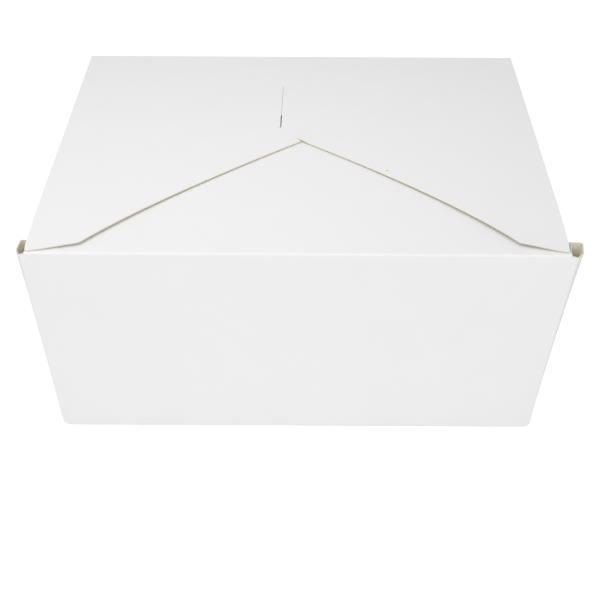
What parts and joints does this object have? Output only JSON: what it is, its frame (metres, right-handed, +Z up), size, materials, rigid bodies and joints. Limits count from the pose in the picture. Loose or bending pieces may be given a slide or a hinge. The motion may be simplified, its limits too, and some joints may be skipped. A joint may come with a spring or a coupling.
{
  "type": "takeout box",
  "caption": "Folded white paperboard takeout box with leaning walls, corner gussets, tucked flaps and a notched rear flap that swings open as the lid.",
  "frame": {"origin": "centre of the base, on the surface that the box stands on", "axes": "+X along the front wall, +Y from the front wall to the rear wall with its crease, +Z up"},
  "size_m": [0.1638, 0.1403, 0.0697],
  "materials": {
    "tray_board": "matte white coated paperboard",
    "lid_board": "matte white coated paperboard"
  },
  "bodies": {
    "tray": {"folded_tray": "tray_board"},
    "lid": {"lid_flap": "lid_board"}
  },
  "joints": [
    {"name": "lid_crease", "type": "hinge", "parent": "tray", "child": "lid", "pos_m": [0, 0.06998, 0.06893], "axis": [-1, 0, 0], "range_deg": [0, 180]}
  ]
}
